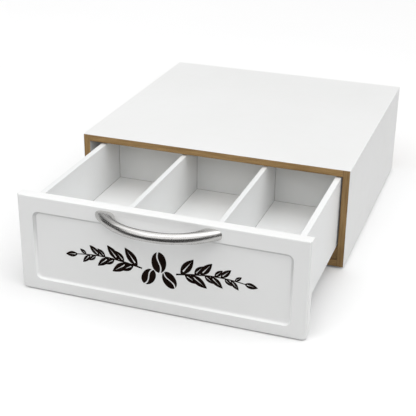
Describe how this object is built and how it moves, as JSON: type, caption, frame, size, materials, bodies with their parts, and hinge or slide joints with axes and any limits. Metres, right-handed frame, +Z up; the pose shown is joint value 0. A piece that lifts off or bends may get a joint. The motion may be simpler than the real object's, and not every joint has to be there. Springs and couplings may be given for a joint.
{
  "type": "coffee pod drawer",
  "caption": "Low white box with a pull-out drawer, split lengthways into compartments for coffee pods, with a metal bow handle; a coffee machine stands on its flat top.",
  "frame": {"origin": "middle of the footprint of the whole object at rest, with the drawer part open, on the surface that it stands on", "axes": "+X to the right seen from the front, +Y from the drawer front towards the back of the casing, +Z up"},
  "size_m": [0.34, 0.54, 0.1285],
  "materials": {
    "painted_board": "satin white paint",
    "bare_fibreboard": "bare",
    "beech": "planed",
    "steel_fixings": "zinc plated",
    "felt": "felt",
    "brushed_handle": "fine brushed",
    "dark_film": "satin"
  },
  "bodies": {
    "casing": {"casing_top": "painted_board", "casing_bottom": "painted_board", "casing_left_side": "painted_board", "casing_right_side": "painted_board", "casing_back": "bare_fibreboard", "casing_dowels": "beech", "back_panel_pins": "steel_fixings", "felt_pads": "felt", "runner_left": "bare_fibreboard", "runner_right": "bare_fibreboard", "guide_strip": "bare_fibreboard", "drawer_stop": "beech", "batten_screws": "steel_fixings"},
    "drawer": {"drawer_front": "painted_board", "drawer_left_side": "painted_board", "drawer_right_side": "painted_board", "drawer_back": "painted_board", "drawer_floor": "painted_board", "divider_left": "painted_board", "divider_right": "painted_board", "front_dowels": "beech", "drawer_brads": "steel_fixings", "handle_bar": "brushed_handle", "handle_screws": "steel_fixings", "front_ornament": "dark_film"}
  },
  "joints": [
    {"name": "drawer_slide", "type": "slide", "parent": "casing", "child": "drawer", "axis": [0, -1, 0], "range_m": [-0.1585, 0.022]}
  ]
}
